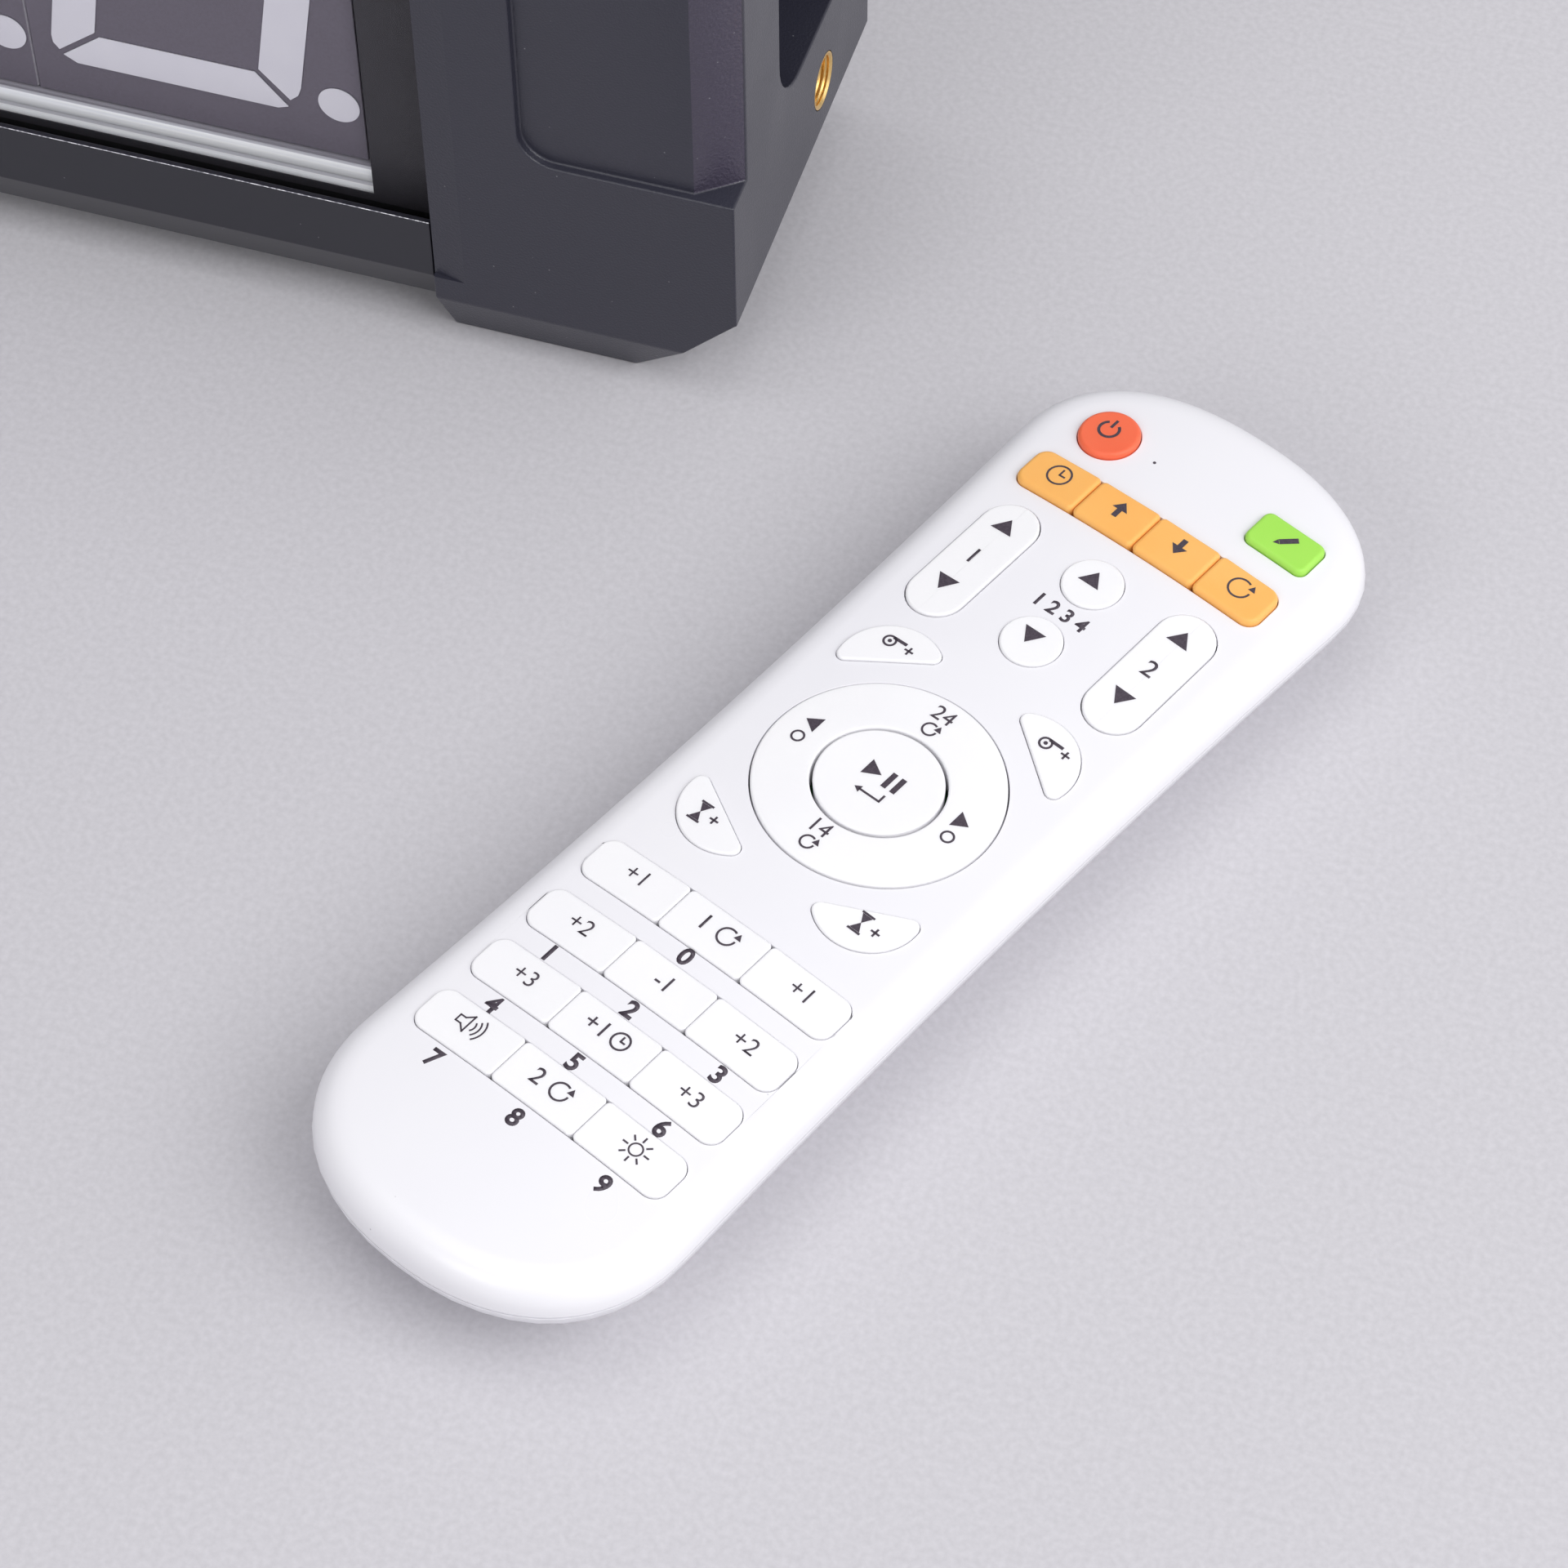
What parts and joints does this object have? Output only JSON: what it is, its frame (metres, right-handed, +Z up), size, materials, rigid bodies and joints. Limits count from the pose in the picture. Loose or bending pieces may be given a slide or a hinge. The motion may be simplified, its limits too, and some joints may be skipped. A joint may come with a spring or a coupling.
{
  "type": "portable electronic scoreboard",
  "caption": "Long table-top scoreboard with two rows of seven-segment digits and moulded end caps with grip slots, and the white handheld remote that works it.",
  "frame": {"origin": "middle of the pair's footprint, on the table", "axes": "+X along the scoreboard to its right end, -Y the way its display faces, +Z up"},
  "size_m": [0.6176, 0.2114, 0.2],
  "materials": {
    "black_abs": "fine grained moulded black plastic",
    "black_anodised": "black anodised extrusion",
    "bright_aluminium": "bright ribbed extrusion",
    "window_acrylic": "clear smoked acrylic sheet with a black printed border",
    "digit_face": "dark grey digit face with pale segments",
    "green_board": "green solder mask",
    "blue_shrink": "blue shrink sleeve",
    "brass": "turned brass",
    "white_abs": "smooth white plastic",
    "white_silicone": "satin white silicone",
    "orange_silicone": "satin orange silicone",
    "red_silicone": "satin red silicone",
    "green_silicone": "satin green silicone",
    "grey_silicone": "matt grey silicone",
    "cell_jacket": "plain dark cell jacket",
    "nickel_plate": "nickel plated spring steel"
  },
  "bodies": {
    "scoreboard": {"end_cap_left": "black_abs", "end_cap_right": "black_abs", "threaded_insert_left": "brass", "threaded_insert_right": "brass", "bottom_rail": "black_anodised", "top_rail": "black_anodised", "display_window": "window_acrylic", "module_rail": "bright_aluminium", "home_score_digits": "digit_face", "game_clock_digits": "digit_face", "guest_score_digits": "digit_face", "home_foul_digits": "digit_face", "period_digit": "digit_face", "shot_clock_digits": "digit_face", "guest_foul_digits": "digit_face", "driver_board": "green_board", "battery_pack": "blue_shrink", "rear_panel": "black_abs", "buzzer": "black_abs", "power_switch_body": "black_abs", "charge_socket": "black_abs"},
    "power_rocker": {"power_switch_rocker": "black_abs"},
    "remote": {"remote_top_shell": "white_abs", "remote_bottom_shell": "white_abs", "remote_cell_1": "cell_jacket", "remote_cell_2": "cell_jacket", "remote_contact_near": "nickel_plate", "remote_contact_far": "nickel_plate", "remote_circuit_board": "green_board", "remote_keypad_mat": "grey_silicone"},
    "battery_door": {"remote_battery_door": "white_abs"},
    "key_ring_web": {"key_ring_web": "grey_silicone"},
    "key_ring": {"key_ring": "white_silicone"},
    "key_home_score": {"key_home_score": "white_silicone"},
    "key_guest_score": {"key_guest_score": "white_silicone"},
    "key_power": {"key_power": "red_silicone"},
    "key_edit": {"key_edit": "green_silicone"},
    "key_clock": {"key_clock": "orange_silicone"},
    "key_up": {"key_up": "orange_silicone"},
    "key_down": {"key_down": "orange_silicone"},
    "key_new_game": {"key_new_game": "orange_silicone"},
    "key_period_up": {"key_period_up": "white_silicone"},
    "key_period_down": {"key_period_down": "white_silicone"},
    "key_home_foul": {"key_home_foul": "white_silicone"},
    "key_guest_foul": {"key_guest_foul": "white_silicone"},
    "key_home_timeout": {"key_home_timeout": "white_silicone"},
    "key_guest_timeout": {"key_guest_timeout": "white_silicone"},
    "key_start_stop": {"key_start_stop": "white_silicone"},
    "key_home_plus_1": {"key_home_plus_1": "white_silicone"},
    "key_timer_1_reset": {"key_timer_1_reset": "white_silicone"},
    "key_guest_plus_1": {"key_guest_plus_1": "white_silicone"},
    "key_home_plus_2": {"key_home_plus_2": "white_silicone"},
    "key_minus_1": {"key_minus_1": "white_silicone"},
    "key_guest_plus_2": {"key_guest_plus_2": "white_silicone"},
    "key_home_plus_3": {"key_home_plus_3": "white_silicone"},
    "key_plus_1_second": {"key_plus_1_second": "white_silicone"},
    "key_guest_plus_3": {"key_guest_plus_3": "white_silicone"},
    "key_buzzer": {"key_buzzer": "white_silicone"},
    "key_timer_2_reset": {"key_timer_2_reset": "white_silicone"},
    "key_brightness": {"key_brightness": "white_silicone"}
  },
  "joints": [
    {"name": "power_rocker_tilt", "type": "hinge", "parent": "scoreboard", "child": "power_rocker", "pos_m": [0.10515, 0.09915, 0.042], "axis": [1, 0, 0], "range_deg": [-16, 0]},
    {"name": "remote_lift", "type": "slide", "parent": "scoreboard", "child": "remote", "axis": [0, 0, 1], "range_m": [0, 0.1]},
    {"name": "battery_door_slide", "type": "slide", "parent": "remote", "child": "battery_door", "axis": [-0.3987, -0.9171, 0], "range_m": [0, 0.058]},
    {"name": "home_score_rock", "type": "hinge", "parent": "remote", "child": "key_home_score", "pos_m": [0.26103, 0.0136, 0.0166], "axis": [0.9171, -0.3987, 0], "range_deg": [-3, 3], "stiffness_Nm_per_rad": 0.096},
    {"name": "guest_score_rock", "type": "hinge", "parent": "remote", "child": "key_guest_score", "pos_m": [0.28707, 0.00228, 0.0166], "axis": [0.9171, -0.3987, 0], "range_deg": [-3, 3], "stiffness_Nm_per_rad": 0.096},
    {"name": "ring_rock_sideways", "type": "hinge", "parent": "remote", "child": "key_ring_web", "pos_m": [0.26005, -0.02425, 0.016], "axis": [0.3987, 0.9171, 0], "range_deg": [-2.5, 2.5], "stiffness_Nm_per_rad": 0.2},
    {"name": "ring_rock_lengthways", "type": "hinge", "parent": "key_ring_web", "child": "key_ring", "pos_m": [0.26005, -0.02425, 0.016], "axis": [0.9171, -0.3987, 0], "range_deg": [-2.5, 2.5], "stiffness_Nm_per_rad": 0.2},
    {"name": "press_power", "type": "slide", "parent": "remote", "child": "key_power", "axis": [0, 0, -1], "range_m": [0, 0.0008], "stiffness_N_per_m": 1500, "springref_m": -0.0002},
    {"name": "press_edit", "type": "slide", "parent": "remote", "child": "key_edit", "axis": [0, 0, -1], "range_m": [0, 0.0008], "stiffness_N_per_m": 1500, "springref_m": -0.0002},
    {"name": "press_clock", "type": "slide", "parent": "remote", "child": "key_clock", "axis": [0, 0, -1], "range_m": [0, 0.0008], "stiffness_N_per_m": 1500, "springref_m": -0.0002},
    {"name": "press_up", "type": "slide", "parent": "remote", "child": "key_up", "axis": [0, 0, -1], "range_m": [0, 0.0008], "stiffness_N_per_m": 1500, "springref_m": -0.0002},
    {"name": "press_down", "type": "slide", "parent": "remote", "child": "key_down", "axis": [0, 0, -1], "range_m": [0, 0.0008], "stiffness_N_per_m": 1500, "springref_m": -0.0002},
    {"name": "press_new_game", "type": "slide", "parent": "remote", "child": "key_new_game", "axis": [0, 0, -1], "range_m": [0, 0.0008], "stiffness_N_per_m": 1500, "springref_m": -0.0002},
    {"name": "press_period_up", "type": "slide", "parent": "remote", "child": "key_period_up", "axis": [0, 0, -1], "range_m": [0, 0.0008], "stiffness_N_per_m": 1500, "springref_m": -0.0002},
    {"name": "press_period_down", "type": "slide", "parent": "remote", "child": "key_period_down", "axis": [0, 0, -1], "range_m": [0, 0.0008], "stiffness_N_per_m": 1500, "springref_m": -0.0002},
    {"name": "press_home_foul", "type": "slide", "parent": "remote", "child": "key_home_foul", "axis": [0, 0, -1], "range_m": [0, 0.0008], "stiffness_N_per_m": 1500, "springref_m": -0.0002},
    {"name": "press_guest_foul", "type": "slide", "parent": "remote", "child": "key_guest_foul", "axis": [0, 0, -1], "range_m": [0, 0.0008], "stiffness_N_per_m": 1500, "springref_m": -0.0002},
    {"name": "press_home_timeout", "type": "slide", "parent": "remote", "child": "key_home_timeout", "axis": [0, 0, -1], "range_m": [0, 0.0008], "stiffness_N_per_m": 1500, "springref_m": -0.0002},
    {"name": "press_guest_timeout", "type": "slide", "parent": "remote", "child": "key_guest_timeout", "axis": [0, 0, -1], "range_m": [0, 0.0008], "stiffness_N_per_m": 1500, "springref_m": -0.0002},
    {"name": "press_start_stop", "type": "slide", "parent": "remote", "child": "key_start_stop", "axis": [0, 0, -1], "range_m": [0, 0.0008], "stiffness_N_per_m": 1500, "springref_m": -0.0002},
    {"name": "press_home_plus_1", "type": "slide", "parent": "remote", "child": "key_home_plus_1", "axis": [0, 0, -1], "range_m": [0, 0.0008], "stiffness_N_per_m": 1500, "springref_m": -0.0002},
    {"name": "press_timer_1_reset", "type": "slide", "parent": "remote", "child": "key_timer_1_reset", "axis": [0, 0, -1], "range_m": [0, 0.0008], "stiffness_N_per_m": 1500, "springref_m": -0.0002},
    {"name": "press_guest_plus_1", "type": "slide", "parent": "remote", "child": "key_guest_plus_1", "axis": [0, 0, -1], "range_m": [0, 0.0008], "stiffness_N_per_m": 1500, "springref_m": -0.0002},
    {"name": "press_home_plus_2", "type": "slide", "parent": "remote", "child": "key_home_plus_2", "axis": [0, 0, -1], "range_m": [0, 0.0008], "stiffness_N_per_m": 1500, "springref_m": -0.0002},
    {"name": "press_minus_1", "type": "slide", "parent": "remote", "child": "key_minus_1", "axis": [0, 0, -1], "range_m": [0, 0.0008], "stiffness_N_per_m": 1500, "springref_m": -0.0002},
    {"name": "press_guest_plus_2", "type": "slide", "parent": "remote", "child": "key_guest_plus_2", "axis": [0, 0, -1], "range_m": [0, 0.0008], "stiffness_N_per_m": 1500, "springref_m": -0.0002},
    {"name": "press_home_plus_3", "type": "slide", "parent": "remote", "child": "key_home_plus_3", "axis": [0, 0, -1], "range_m": [0, 0.0008], "stiffness_N_per_m": 1500, "springref_m": -0.0002},
    {"name": "press_plus_1_second", "type": "slide", "parent": "remote", "child": "key_plus_1_second", "axis": [0, 0, -1], "range_m": [0, 0.0008], "stiffness_N_per_m": 1500, "springref_m": -0.0002},
    {"name": "press_guest_plus_3", "type": "slide", "parent": "remote", "child": "key_guest_plus_3", "axis": [0, 0, -1], "range_m": [0, 0.0008], "stiffness_N_per_m": 1500, "springref_m": -0.0002},
    {"name": "press_buzzer", "type": "slide", "parent": "remote", "child": "key_buzzer", "axis": [0, 0, -1], "range_m": [0, 0.0008], "stiffness_N_per_m": 1500, "springref_m": -0.0002},
    {"name": "press_timer_2_reset", "type": "slide", "parent": "remote", "child": "key_timer_2_reset", "axis": [0, 0, -1], "range_m": [0, 0.0008], "stiffness_N_per_m": 1500, "springref_m": -0.0002},
    {"name": "press_brightness", "type": "slide", "parent": "remote", "child": "key_brightness", "axis": [0, 0, -1], "range_m": [0, 0.0008], "stiffness_N_per_m": 1500, "springref_m": -0.0002}
  ]
}
